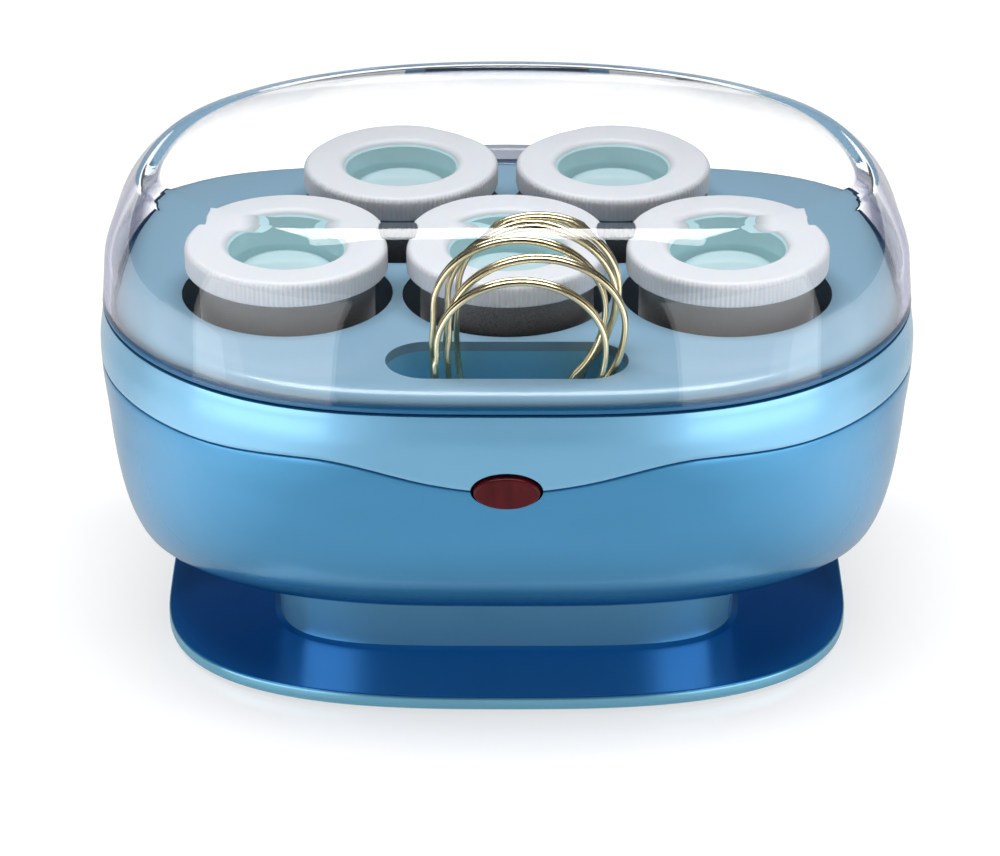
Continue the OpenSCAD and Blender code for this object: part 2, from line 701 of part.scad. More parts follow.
// The cord rises to the terminals inside, and outside it drops to the table and lies there in a hank.
function cord_path() = concat(
    bend([0, 0, bowl_floor_z + 14], [0, -4, cord_exit_z], [0, relief_y - 10, cord_exit_z], 8),
    bend([0, relief_y + 20, cord_exit_z], [-6, hank_y, cord_d / 2], [14, hank_y, cord_d / 2], 9),
    [for (k = [0 : cord_runs - 2]) each hank_turn(k)], [hank_end()]);

module power_cord() {
    color([0.12, 0.12, 0.12]) wire(cord_path(), cord_d / 2, 8, [0, 0, 1]);
}

module at_cord_end() {
    translate(hank_end()) mirror([cord_runs % 2 == 1 ? 0 : 1, 0, 0]) rotate([0, 90, 0]) children();
}

blade_y = 6.35;                     // each blade's distance from the plug's middle
BLADE = [6.3, 1.5, 16];
blade_z = 16;                       // inner end of the blades, along the plug

module plug_body() {
    color([0.1, 0.1, 0.1]) at_cord_end() difference() {
        union() {
            cylinder(r = cord_d / 2, h = 8, $fn = 48);
            translate([-7, -9, 7]) cube([7 + cord_d / 2, 18, 14]);
        }
        for (y = [-blade_y, blade_y]) translate([-2, y, blade_z + BLADE.z / 2])
            cube([BLADE.x + 2 * RUN, BLADE.y + 2 * RUN, BLADE.z], center = true);
    }
}

module plug_blades() {
    color([0.8, 0.7, 0.4]) at_cord_end() for (y = [-blade_y, blade_y]) difference() {
        translate([-2, y, blade_z + BLADE.z / 2]) cube(BLADE, center = true);
        translate([-2, y - THROUGH, blade_z + 13]) rotate([-90, 0, 0]) post(1.6, 2 * THROUGH);
    }
}

// A strap round the runs of the hank.
module cord_tie() {
    long = hank_pitch * (cord_runs - 1) + cord_d;
    color([0.15, 0.15, 0.15]) translate([16, hank_y - cord_d / 2, 0]) difference() {
        translate([0, -1.8, 0.4]) cube([8, long + 3.6, cord_d + 1.2]);
        translate([-1, -0.6, -1]) cube([10, long + 1.2, cord_d + 1.4]);
    }
}

// ---------- rollers ----------

rim_h = 7.6;
eye_round = 2.6;
edge_round = 2;

// An end rim: a thick washer with rounded edges; up is its outer face.
module end_rim() {
    face = rim_d / 2 - core_bore_r;
    rotate_extrude($fn = 128) translate([core_bore_r, 0]) union() {
        square([face, rim_h - eye_round]);
        translate([eye_round, 0]) square([face - eye_round - edge_round, rim_h]);
        translate([eye_round, 0]) square([face - eye_round, rim_h - edge_round]);
        translate([eye_round, rim_h - eye_round]) circle(r = eye_round, $fn = 48);
        translate([face - edge_round, rim_h - edge_round]) circle(r = edge_round, $fn = 48);
    }
}

module at_seat(k) {
    translate([SEATS[k].x, SEATS[k].y, 0]) children();
}

module top_rim(k) {
    color([0.93, 0.94, 0.95]) at_seat(k) translate([0, 0, cap_top_z - rim_h]) end_rim();
}

module bottom_rim(k) {
    color([0.93, 0.94, 0.95]) at_seat(k) translate([0, 0, well_floor_z + rim_h]) mirror([0, 0, 1]) end_rim();
}

sleeve_t = 2;

// The core is a sealed tube of heat-holding wax.
module core(k) {
    color([0.85, 0.86, 0.86]) at_seat(k) translate([0, 0, well_floor_z + rim_h])
        tube(barrel_d / 2 - sleeve_t, core_bore_r, roller_len - 2 * rim_h);
}

module sleeve(k) {
    color([0.5, 0.48, 0.47]) at_seat(k) translate([0, 0, well_floor_z + rim_h])
        tube(barrel_d / 2, barrel_d / 2 - sleeve_t, roller_len - 2 * rim_h);
}

// ---------- clips ----------

clip_wire_r = 0.85;
strand_gap = 2.1;                   // distance between a clip's two strands
clip_pitch = 4.4;
CLIP_X = [4, 8.5, 3.5, 7, 9];       // sideways place of each clip, from the front one to the back one
CLIP_W = [24, 25, 24.5, 24, 23];    // half width of each clip's arch
CLIP_H = [30, 35, 38.5, 40, 40.5];  // height of each clip above the deck

// One strand: a straight leg, an arch that bulges to the right and curls back under itself.
function strand(k) = let (h = CLIP_H[k], w = CLIP_W[k], cx = CLIP_X[k], cz = deck_z + h - 22)
    concat([[cx - w + 1.5, slot_floor_z + 1.4], [cx - w - 0.6, deck_z + 3]],
        [for (a = [-100 : 17.5 : 145]) [cx + w * sin(a), cz + 20.8 * cos(a) * (a > 90 ? 1.35 : 1)]],
        [[cx + w * 0.45, slot_floor_z + 1.4]]);

module clip(k) {
    points = strand(k);
    n = len(points);
    y = slot_y + clip_pitch * (k - 2);
    color([0.82, 0.74, 0.5]) wire(concat(
        [for (i = [n - 1 : -1 : 0]) [points[i][0], y - strand_gap / 2, points[i][1]]],
        [for (i = [0 : n - 1]) [points[i][0], y + strand_gap / 2, points[i][1]]]), clip_wire_r, 6, [0, 1, 0]);
}

// ---------- selection ----------

lid();
hinge_pin();
upper_housing();
lower_housing();
roller_deck();
pedestal();
base_cover();
rubber_feet();
heater_plate();
heating_posts();
post_screws();
heating_element();
element_clamp();
heater_standoffs();
plate_screws();
thermostat();
thermal_fuse();
rocker_cap();
switch_body();
neon_lamp();
terminal_block();
internal_wires();
strain_relief();
power_cord();
plug_body();
plug_blades();
cord_tie();
housing_screws();
pedestal_screws();
cover_screws();
clip(0);  // clip_1
clip(1);  // clip_2
clip(2);  // clip_3
clip(3);  // clip_4
clip(4);  // clip_5
top_rim(0);  // front_left_top_rim
bottom_rim(0);  // front_left_bottom_rim
core(0);  // front_left_core
sleeve(0);  // front_left_sleeve
top_rim(1);  // front_middle_top_rim
bottom_rim(1);  // front_middle_bottom_rim
core(1);  // front_middle_core
sleeve(1);  // front_middle_sleeve
top_rim(2);  // front_right_top_rim
bottom_rim(2);  // front_right_bottom_rim
core(2);  // front_right_core
sleeve(2);  // front_right_sleeve
top_rim(3);  // back_left_top_rim
bottom_rim(3);  // back_left_bottom_rim
core(3);  // back_left_core
sleeve(3);  // back_left_sleeve
top_rim(4);  // back_right_top_rim
bottom_rim(4);  // back_right_bottom_rim
core(4);  // back_right_core
sleeve(4);  // back_right_sleeve
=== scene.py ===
"""Looks for a heated hair roller set.

The pearl shells, clear lid, ribbed rollers, wire clips and oval rocker are built round the frame's
nodes, with the same outlines as the CAD part; the small inner nodes only get materials."""
import json
import math

import bmesh
import bpy
from mathutils import Matrix, Vector


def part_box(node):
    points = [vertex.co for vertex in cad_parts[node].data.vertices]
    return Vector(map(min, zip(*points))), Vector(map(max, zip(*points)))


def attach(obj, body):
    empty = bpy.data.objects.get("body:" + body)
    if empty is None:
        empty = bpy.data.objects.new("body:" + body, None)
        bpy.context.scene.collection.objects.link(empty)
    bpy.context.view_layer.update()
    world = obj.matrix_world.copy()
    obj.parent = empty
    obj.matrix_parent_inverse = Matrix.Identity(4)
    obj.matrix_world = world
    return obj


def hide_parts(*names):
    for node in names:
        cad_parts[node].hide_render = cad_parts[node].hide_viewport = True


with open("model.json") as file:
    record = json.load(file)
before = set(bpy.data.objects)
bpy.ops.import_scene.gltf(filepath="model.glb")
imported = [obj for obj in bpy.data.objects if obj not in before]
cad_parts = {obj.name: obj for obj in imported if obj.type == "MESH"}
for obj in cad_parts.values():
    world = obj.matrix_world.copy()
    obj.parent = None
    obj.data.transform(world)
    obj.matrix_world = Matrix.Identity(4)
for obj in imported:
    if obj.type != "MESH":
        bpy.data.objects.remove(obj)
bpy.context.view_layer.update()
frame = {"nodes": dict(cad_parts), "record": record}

MM = 0.001
AROUND = 192                       # points round each lofted outline

# ---------- sizes, read from the frame ----------

deck_low, deck_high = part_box("roller_deck")
foot_low, foot_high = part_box("pedestal")
pin_low, pin_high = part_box("hinge_pin")
relief_low, relief_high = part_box("strain_relief")
rocker_low, rocker_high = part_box("rocker_cap")

DECK_INSET = 4.3 * MM              # the deck's edge stands this far inside the housing's outline
DECK_Z = deck_high[2]
RIM_Z = DECK_Z - 5 * MM
HALF_W = deck_high[0] + DECK_INSET
HALF_FRONT = DECK_INSET - deck_low[1]
HALF_BACK = deck_high[1] + DECK_INSET
FLOOR_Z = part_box("lower_housing")[0][2]
BOWL_DEPTH = RIM_Z - FLOOR_Z
LEDGE_Z = RIM_Z - 2 * MM           # the deck rests here
PLATE_TOP_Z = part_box("heater_plate")[1][2]
HINGE_Y = (pin_low[1] + pin_high[1]) / 2
HINGE_Z = (pin_low[2] + pin_high[2]) / 2
RELIEF_Z = (relief_low[2] + relief_high[2]) / 2

WALL = 2.5 * MM
GAP = 0.3 * MM                     # between the two shells, and between the rim and the lid
LID_BASE_Z = RIM_Z + GAP
SHARP = 35                         # degrees; faces that meet more steeply keep a crisp edge
KNUCKLE_R = 3.6 * MM               # the lid's knuckle and the ears beside it

ROLLERS = ["front_left", "front_middle", "front_right", "back_left", "back_right"]


def roller_place(name):
    low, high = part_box(name + "_top_rim")
    return (low[0] + high[0]) / 2, (low[1] + high[1]) / 2


# ---------- mesh helpers ----------

def new_object(name, bm):
    """Turns a bmesh into an object in the scene."""
    mesh = bpy.data.meshes.new(name)
    bm.to_mesh(mesh)
    bm.free()
    thing = bpy.data.objects.new(name, mesh)
    bpy.context.collection.objects.link(thing)
    return thing


def paint(thing, material):
    thing.data.materials.clear()
    thing.data.materials.append(material)


def is_sharp(edge, degrees):
    return len(edge.link_faces) == 2 and edge.calc_face_angle(0) > math.radians(degrees)


def shade(bm, sharp):
    """Smooth shading with crisp edges."""
    for face in bm.faces:
        face.smooth = True
    for edge in bm.edges:
        edge.smooth = not is_sharp(edge, sharp)


def mesh_object(name, bm, body, slot, replaces=(), sharp=SHARP):
    """Turns a bmesh into a piece that rides on a body."""
    bmesh.ops.recalc_face_normals(bm, faces=bm.faces)
    shade(bm, sharp)
    piece = new_object(name, bm)
    paint(piece, MATERIALS[slot])
    if replaces:
        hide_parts(*replaces)
    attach(piece, body)
    return piece


def cutter_object(bm):
    bmesh.ops.recalc_face_normals(bm, faces=bm.faces)
    return new_object("cutter", bm)


def cut_away(piece, cutters, operation="DIFFERENCE", sharp=SHARP):
    """Applies booleans with temporary cutters, then marks the crisp edges again."""
    for cutter in cutters:
        change = piece.modifiers.new("cut", "BOOLEAN")
        change.operation = operation
        change.solver = "EXACT"
        change.object = cutter
    bpy.context.view_layer.update()
    graph = bpy.context.evaluated_depsgraph_get()
    result = bpy.data.meshes.new_from_object(piece.evaluated_get(graph))
    piece.modifiers.clear()
    old = piece.data
    piece.data = result
    bpy.data.meshes.remove(old)
    for cutter in cutters:
        shape = cutter.data
        bpy.data.objects.remove(cutter)
        bpy.data.meshes.remove(shape)
    bm = bmesh.new()
    bm.from_mesh(result)
    shade(bm, sharp)
    bm.to_mesh(result)
    bm.free()


def add_rings(bm, rings, closed=False):
    """Joins rings of points with quads; returns the rows of vertices."""
    rows = [[bm.verts.new(p) for p in ring] for ring in rings]
    pairs = list(zip(rows, rows[1:]))
    if closed:
        pairs.append((rows[-1], rows[0]))
    for a, b in pairs:
        n = len(a)
        for i in range(n):
            j = (i + 1) % n
            bm.faces.new((a[i], a[j], b[j], b[i]))
    return rows


def add_capped(bm, rings, start, end):
    """Joins rings and closes the first and last with fans to the points start and end."""
    rows = add_rings(bm, rings)
    for row, point in ((rows[0], start), (rows[-1], end)):
        hub = bm.verts.new(point)
        n = len(row)
        for i in range(n):
            bm.faces.new((row[i], row[(i + 1) % n], hub))


def lathe(profile, middle, steps=96, radius_at=None):
    """Rings of a profile of (radius, z) turned about an upright axis through middle."""
    rings = []
    for r, z in profile:
        points = []
        for i in range(steps):
            a = 2 * math.pi * i / steps
            radius = radius_at(r, a) if radius_at else r
            points.append((middle[0] + radius * math.cos(a), middle[1] + radius * math.sin(a), z))
        rings.append(points)
    return rings


def arc(cx, cy, r, start, end, n=8):
    """Points along an arc, in degrees."""
    return [(cx + r * math.cos(math.radians(start + (end - start) * i / n)),
             cy + r * math.sin(math.radians(start + (end - start) * i / n))) for i in range(n + 1)]


def add_box(bm, low, high, bevel=0.4 * MM):
    """A block with rounded edges."""
    made = bmesh.ops.create_cube(bm, size=1)["verts"]
    low, high = Vector(low), Vector(high)
    bmesh.ops.scale(bm, vec=high - low, verts=made)
    bmesh.ops.translate(bm, vec=(high + low) / 2, verts=made)
    edges = list({e for v in made for e in v.link_edges})
    bmesh.ops.bevel(bm, geom=edges, offset=bevel, segments=3, profile=0.5, affect="EDGES")


def add_oval(bm, w, h, z, sections):
    """An elliptic solid along Y, with a section at each (y, size) pair."""
    steps = 96
    angles = [2 * math.pi * i / steps for i in range(steps)]
    rings = [[(w / 2 * size * math.cos(a), y, z + h / 2 * size * math.sin(a)) for a in angles]
             for y, size in sections]
    add_capped(bm, rings, (0, sections[0][0], z), (0, sections[-1][0], z))


def add_tube(bm, path, radius, sides):
    """A round wire along a path; each end is drawn in to a small flat."""
    end_size, end_reach = 0.35, 0.75
    path = [Vector(p) for p in path]
    last = len(path) - 1
    side = Vector((0.13, 0.2, 0.97))     # a first guess that no path starts along
    angles = [2 * math.pi * j / sides for j in range(sides)]
    rings = []
    for k in range(-1, last + 2):
        i = min(max(k, 0), last)
        tangent = (path[min(i + 1, last)] - path[max(i - 1, 0)]).normalized()
        side = (side - side.dot(tangent) * tangent).normalized()
        up = tangent.cross(side)
        point, size = path[i], 1
        if k != i:
            point = point + tangent * radius * (end_reach if k > i else -end_reach)
            size = end_size
        rings.append([point + radius * size * (math.cos(a) * side + math.sin(a) * up)
                      for a in angles])
    start, end = [(ends[0] + ends[sides // 2]) / 2 for ends in (rings[0], rings[-1])]
    add_capped(bm, rings, start, end)


def smooth_path(points, rounds=2):
    """Cuts the corners of a path so that its bends become round."""
    for _ in range(rounds):
        cut = [points[0]]
        for a, b in zip(points, points[1:]):
            a, b = Vector(a), Vector(b)
            cut += [a.lerp(b, 0.25), a.lerp(b, 0.75)]
        points = cut + [points[-1]]
    return points


# ---------- outlines, by the same rules as the CAD housing ----------

SIDE_N, FRONT_N, BACK_N = 2.15, 2.95, 4.5     # how square the outline is; 2 is an ellipse


def ease(t):
    t = min(1, max(0, t))
    return t * t * (3 - 2 * t)


def superellipse(w, front, back, power):
    """An outline w wide to each side; power takes the sine of the angle and gives the exponent."""
    points = []
    for i in range(AROUND):
        a = 2 * math.pi * i / AROUND
        c, s = math.cos(a), math.sin(a)
        n = power(s)
        depth = front if s < 0 else back
        r = 1 / ((abs(c) / w) ** n + (abs(s) / depth) ** n) ** (1 / n)
        points.append((r * c, r * s))
    return points


def outline(w, front, back, front_n=FRONT_N, back_n=BACK_N):
    """The housing's outline: round at the sides, squarer at the front and squarest at the back."""
    def power(s):
        if s < 0:
            return SIDE_N + (front_n - SIDE_N) * s * s
        return SIDE_N + (back_n - SIDE_N) * ease(2 * s)

    return superellipse(w, front, back, power)


def ring(points, z):
    return [(x, y, z) for x, y in points]


def rim_outline(inset):
    return outline(HALF_W - inset, HALF_FRONT - inset, HALF_BACK - inset)


def deck_outline(k):
    """The deck's outline; k runs from 0 at its lower edge to 1 at the flat top."""
    side, front, back = 7.7 * MM, 6.7 * MM, 2.6 * MM
    return outline(HALF_W - DECK_INSET - side * k, HALF_FRONT - DECK_INSET - front * k,
                   HALF_BACK - DECK_INSET - back * k)


def swell(d):
    """How far the housing bulges past its rim at depth d: a soft belt below the rim."""
    out, rise, fall_from, fall = 1.1 * MM, 11 * MM, 13 * MM, 20 * MM
    return out * (ease(d / rise) - ease((d - fall_from) / fall))


def draw_in(d):
    """Share of the way from the rim's outline to the floor's at depth d."""
    start = 21 * MM
    gentle, gentle_power, turn_power = 0.62, 1.58, 5.6     # an even taper, then a turn under
    u = max(0, d - start) / (BOWL_DEPTH - start)
    return gentle * u ** gentle_power + (1 - gentle) * u ** turn_power


def bowl_outline(d, inset):
    side, front, back, rounder = 9.5 * MM, 22 * MM, 24 * MM, 0.97      # changes by the floor
    k = draw_in(d)
    g = swell(d) - inset
    return outline(HALF_W + g - side * k, HALF_FRONT + g - front * k, HALF_BACK + g - back * k,
                   FRONT_N, BACK_N - rounder * k)


OUTLINES = {}


def wall_point(i, d, inset):
    """Point i of the housing's outline at depth d; outlines are kept, because rings share them."""
    key = (round(d, 7), round(inset, 7))
    if key not in OUTLINES:
        OUTLINES[key] = bowl_outline(d, inset)
    return OUTLINES[key][i]


def wall_point_between(i, d, inset):
    """A wall point at any depth, from the outlines at whole steps on each side of it."""
    step = 0.5 * MM
    k = math.floor(d / step)
    t = d / step - k
    ax, ay = wall_point(i, k * step, inset)
    bx, by = wall_point(i, (k + 1) * step, inset)
    return ax + (bx - ax) * t, ay + (by - ay) * t


SEAM_D = 16.5 * MM                 # depth of the parting line at the sides and back
SEAM_EDGE = 0.5 * MM               # rounding of the shells' edges along the parting line
SEAM_LIP = 0.12 * MM               # first step of that rounding, with its drop
SEAM_LIP_DROP = 0.2 * MM


def hump(x, half):
    """A smooth hump of height 1 and the given half width round the middle."""
    return math.cos(math.pi / 2 * x / half) ** 2 if abs(x) < half else 0


def seam_depth(x, y):
    """The parting line dips round the rocker and rises a little beside it."""
    dip, dip_half, rise, rise_half = 7.8 * MM, 56 * MM, 1.5 * MM, 35 * MM
    if y > 0:
        return SEAM_D
    return SEAM_D + dip * hump(x, dip_half) - rise * hump(abs(x) - dip_half, rise_half)


# ---------- materials ----------

def grey(value):
    return (value, value, value)


def tint(colour, factor):
    return tuple(min(1, c * factor) for c in colour)


class Net:
    """A node tree, with the few node set-ups that the looks share."""

    def __init__(self, tree):
        self.nodes, self.links = tree.nodes, tree.links

    def fill(self, node, values):
        """Sets inputs by name or number, each to another node's output or to a plain value."""
        for key, value in values.items():
            if isinstance(value, bpy.types.NodeSocket):
                self.links.new(value, node.inputs[key])
            else:
                node.inputs[key].default_value = value

    def add(self, kind, values=None):
        node = self.nodes.new("ShaderNode" + kind)
        self.fill(node, values or {})
        return node

    def math(self, operation, *values):
        node = self.nodes.new("ShaderNodeMath")
        node.operation = operation
        self.fill(node, dict(enumerate(values)))
        return node.outputs[0]

    def noise(self, scale, detail=2, stretch=(1, 1, 1)):
        """Noise in object space; scale is in features per metre."""
        place = self.add("TexCoord").outputs["Object"]
        mapping = self.add("Mapping", {"Vector": place, "Scale": stretch})
        texture = self.add("TexNoise", {"Vector": mapping.outputs["Vector"], "Scale": scale,
                                        "Detail": detail})
        return texture.outputs["Fac"]

    def ramp(self, source, low, high, start=0.35, end=0.65):
        """Maps a value onto a range of colours or greys."""
        band = self.add("ValToRGB", {"Fac": source})
        for element, place, colour in zip(band.color_ramp.elements, (start, end), (low, high)):
            element.position = place
            element.color = (*colour, 1)
        return band.outputs["Color"]

    def map_range(self, value, start, end, low, high):
        return self.add("MapRange", {"Value": value, "From Min": start, "From Max": end,
                                     "To Min": low, "To Max": high}).outputs[0]

    def when(self, ray_kind, value):
        """The value for one kind of ray, and 0 for the others."""
        return self.map_range(self.add("LightPath").outputs[ray_kind], 0, 1, 0, value)

    def greatest(self, first, *others):
        for other in others:
            first = self.math("MAXIMUM", first, other)
        return first

    def axis(self, vector, letter):
        """One coordinate of a vector."""
        return self.add("SeparateXYZ", {0: vector}).outputs[letter]

    def mix(self, factor, first, second):
        """Blends from one colour to another."""
        node = self.nodes.new("ShaderNodeMix")
        node.data_type = "RGBA"
        self.fill(node, {"Factor": factor, "A": first, "B": second})
        return node.outputs["Result"]

    def mix_shader(self, factor, first, second):
        return self.add("MixShader", {0: factor, 1: first, 2: second}).outputs[0]

    def bump(self, height, strength, distance):
        return self.add("Bump", {"Height": height, "Strength": strength,
                                 "Distance": distance}).outputs["Normal"]


def new_material(name):
    material = bpy.data.materials.new(name)
    material.use_nodes = True
    net = Net(material.node_tree)
    return material, net, net.nodes["Principled BSDF"]


def plastic(name, colour, rough=0.35, coat=0.0, fleck=0.04, grain=0.0, painted_glow=0.0, subsurface=0.0):
    """Moulded plastic: slight colour drift, uneven gloss and a fine surface texture; a painted glow
    in its own colour can be added so that it looks lit.
    """
    material, net, shader = new_material(name)
    less, more = 1 - fleck, 1 + fleck
    net.fill(shader, {
        "Base Color": net.ramp(net.noise(60, 3), tint(colour, less), tint(colour, more)),
        "Roughness": net.ramp(net.noise(190, 4), grey(rough * less), grey(min(1, rough * more))),
        "Coat Weight": coat, "Coat Roughness": 0.06,
        "Emission Color": (*colour, 1), "Emission Strength": painted_glow,
        "Subsurface Weight": subsurface, "Subsurface Scale": 2 * MM})
    if grain:
        net.fill(shader, {"Normal": net.bump(net.noise(2600), grain, 0.05 * MM)})
    return material


def pearl(name, colour, pale, start, end, painted_shade_colour):
    """Pearl plastic: soft drifts of flake under a clear gloss, with a painted sheen that pales it
    seen edge on.

    Painted shade: the colour gives way to a darker shade colour as the normal's Z runs from start
    to end."""
    material, net, shader = new_material(name)
    rough = 0.24
    flake = net.ramp(net.noise(34, 3, (1, 1, 2)), tint(colour, 0.98), tint(colour, 1.02))
    # Painted sheen: the colour pales towards the pale tint where the surface is seen edge on.
    facing = net.add("LayerWeight", {"Blend": 0.3}).outputs["Facing"]
    with_painted_sheen = net.mix(net.math("MULTIPLY", facing, 0.5), flake, (*pale, 1))
    # Painted shade: faces whose normal's Z lies between start and end take the darker shade colour.
    normal_z = net.axis(net.add("NewGeometry").outputs["Normal"], "Z")
    painted_shade_share = net.map_range(normal_z, start, end, 0, 1)
    net.fill(shader, {
        "Base Color": net.mix(painted_shade_share, with_painted_sheen, (*painted_shade_colour, 1)),
        "Metallic": 0.55,
        "Roughness": net.ramp(net.noise(140, 4), grey(rough * 0.96), grey(rough * 1.04)),
        "Coat Weight": 0.4, "Coat Roughness": 0.03})
    return material


def metal(name, colour, rough=0.25, brushed=(1, 1, 1), scale=700):
    """Plain metal with fine drawn or brushed streaks."""
    material, net, shader = new_material(name)
    streaks = net.noise(scale, 4, brushed)
    net.fill(shader, {
        "Base Color": net.ramp(streaks, tint(colour, 0.9), tint(colour, 1.06)),
        "Metallic": 1,
        "Roughness": net.ramp(streaks, grey(rough * 0.75), grey(rough * 1.3)),
        "Normal": net.bump(streaks, 0.08, 0.02 * MM)})
    return material


def clear(name):
    """Clear plastic that lets light through to what stands under it.

    Painted shade: the side walls darken seen edge on, and an opaque dark blue band is painted along
    the lid's foot."""
    material, net, shader = new_material(name)
    normal_x = net.axis(net.add("NewGeometry").outputs["Normal"], "X")
    facing = net.add("LayerWeight", {"Blend": 0.5}).outputs["Facing"]
    painted_edge_shade = net.math("MULTIPLY", net.math("ABSOLUTE", normal_x), facing)
    # Painted shade: the base colour turns grey violet where the side walls are seen edge on.
    net.fill(shader, {
        "Base Color": net.ramp(painted_edge_shade, (1, 1, 1), (0.1, 0.1, 0.17), 0.3, 0.72),
        "Transmission Weight": 1, "IOR": 1.46,
        "Roughness": net.ramp(net.noise(40), grey(0.0), grey(0.004))})

    # Shadow and diffuse rays, and reflections seen through the lid, pass straight through.
    ray = net.add("LightPath").outputs
    mirrored = net.math("MULTIPLY", net.math("GREATER_THAN", ray["Ray Depth"], 2.5),
                        ray["Is Reflection Ray"])
    passes = net.greatest(ray["Is Shadow Ray"], ray["Is Diffuse Ray"], mirrored)
    through = net.add("BsdfTransparent", {"Color": (0.93, 0.95, 0.97, 1)})
    wall = net.mix_shader(passes, shader.outputs[0], through.outputs[0])

    # Rays that bounce about inside the wall end in a painted grey glow.
    painted_glow = net.add("Emission", {"Color": (0.42, 0.45, 0.54, 1)})
    wall = net.mix_shader(net.math("GREATER_THAN", ray["Ray Depth"], 4.5), wall, painted_glow.outputs[0])

    # Painted shade: an opaque dark blue band along the lid's foot.
    foot = net.add("BsdfPrincipled", {"Base Color": (0.015, 0.14, 0.3, 1), "Roughness": 0.3})
    height = net.axis(net.add("TexCoord").outputs["Object"], "Z")
    band = net.map_range(height, LID_BASE_Z + 1.1 * MM, LID_BASE_Z + 1.5 * MM, 1, 0)
    net.fill(net.nodes["Material Output"],
             {"Surface": net.mix_shader(band, wall, foot.outputs[0])})
    return material


def flock(name, colour):
    """Short velvet flocking: a soft sheen over a fine fibrous surface."""
    material, net, shader = new_material(name)
    fibres = net.noise(3200, 3)
    net.fill(shader, {
        "Base Color": net.ramp(fibres, tint(colour, 0.6), tint(colour, 1.35)),
        "Roughness": 0.95, "Sheen Weight": 0.8, "Sheen Roughness": 0.4,
        "Normal": net.bump(fibres, 0.6, 0.2 * MM)})
    return material


def lens(name, colour):
    """Deep coloured lens over a lamp: dark and glossy, with faint painted highlight streaks."""
    material, net, shader = new_material(name)
    # Painted highlight: stretched noise paints faint lighter and darker streaks into the lens's
    # colour.
    streaks = net.noise(260, 2, (1, 0.2, 0.2))
    net.fill(shader, {
        "Base Color": net.ramp(streaks, tint(colour, 0.8), tint(colour, 1.25)),
        "Roughness": 0.3, "Specular IOR Level": 0.12,
        "Coat Weight": 0.1, "Coat Roughness": 0.03})
    return material


# Each slot's kind of material and its settings.
LOOKS = {
    "clear_plastic": (clear, {}),
    # Painted shade on the pale belt: its up-facing rim top and ledge take a dark blue.
    "light_blue_plastic": (pearl, dict(colour=(0.2, 0.5, 0.76), pale=(0.42, 0.66, 0.8),
                                       start=0.5, end=0.95, painted_shade_colour=(0.02, 0.16, 0.34))),
    # Painted shade under the bowl: its down-facing faces take a darker blue.
    "blue_plastic": (pearl, dict(colour=(0.05, 0.29, 0.55), pale=(0.12, 0.4, 0.63),
                                 start=-0.6, end=-0.74, painted_shade_colour=(0.003, 0.12, 0.34))),
    # Painted shade on the foot: its up-facing dish under the bowl takes a darker blue.
    "dark_blue_plastic": (pearl, dict(colour=(0.26, 0.68, 0.92), pale=(0.3, 0.66, 0.84),
                                      start=0.5, end=0.95, painted_shade_colour=(0.001, 0.22, 0.66))),
    "deck_plastic": (plastic, dict(colour=(0.26, 0.42, 0.54), rough=0.28, coat=0.4, fleck=0.004)),
    "white_plastic": (plastic, dict(colour=(0.79, 0.79, 0.81), rough=0.45, fleck=0.01, grain=0.08,
                                    subsurface=0.15)),
    "flocking": (flock, dict(colour=(0.2, 0.195, 0.195))),
    # Painted light: the eye liners and the posts glow a little in their own colour, lifting the
    # shade inside the bores.
    "wax_core": (plastic, dict(colour=(0.45, 0.66, 0.68), rough=0.3, grain=0.05, painted_glow=0.16)),
    "aluminium": (plastic, dict(colour=(0.5, 0.66, 0.68), rough=0.2, coat=0.6, fleck=0.03,
                                painted_glow=0.1)),
    "steel": (metal, dict(colour=(0.55, 0.55, 0.56), rough=0.28, brushed=(1, 1, 12))),
    "gold_wire": (metal, dict(colour=(0.96, 0.82, 0.52), rough=0.22, scale=80)),
    "red_plastic": (lens, dict(colour=(0.085, 0.006, 0.009))),
    "lamp_glass": (plastic, dict(colour=(1.0, 0.35, 0.15), rough=0.1, coat=1)),
    "black_plastic": (plastic, dict(colour=(0.02, 0.02, 0.022), rough=0.5, grain=0.4)),
    "rubber": (plastic, dict(colour=(0.015, 0.015, 0.015), rough=0.85, grain=0.6)),
    "cord_rubber": (plastic, dict(colour=(0.016, 0.016, 0.018), rough=0.5, grain=0.3)),
    "element_sheath": (metal, dict(colour=(0.1, 0.09, 0.085), rough=0.5)),
    "heatproof_plastic": (plastic, dict(colour=(0.7, 0.66, 0.56), rough=0.6, grain=0.4)),
    "brown_plastic": (plastic, dict(colour=(0.16, 0.07, 0.03), rough=0.4, grain=0.3)),
    "wire_insulation": (plastic, dict(colour=(0.55, 0.5, 0.4), rough=0.6, grain=0.3)),
    "brass": (metal, dict(colour=(0.7, 0.55, 0.25), brushed=(1, 12, 1))),
}
MATERIALS = {slot: kind(slot, **settings) for slot, (kind, settings) in LOOKS.items()}

for part in frame["record"]["subparts"]:
    paint(frame["nodes"][part["node"]], MATERIALS[part["material_slot"]])


# ---------- shells ----------

def upper_ring(share, inset, drop=0.0):
    """A ring of the upper housing; share runs from 0 at the rim to 1 at the parting line."""
    top = 0.6 * MM
    points = []
    for i, (x, y) in enumerate(bowl_outline(SEAM_D, inset)):
        bottom = seam_depth(x, y) - GAP / 2 - drop
        d = top + (bottom - top) * share
        points.append((*wall_point(i, d, inset), RIM_Z - d))
    return points


def lower_ring(share, inset, drop=0.0):
    """A ring of the bowl; share runs from 0 at the parting line to 1 where it turns under."""
    end = 71 * MM
    points = []
    for i, (x, y) in enumerate(bowl_outline(SEAM_D, inset)):
        top = seam_depth(x, y) + GAP / 2 + drop
        d = top + (end - top) * share
        points.append((*wall_point_between(i, d, inset), RIM_Z - d))
    return points


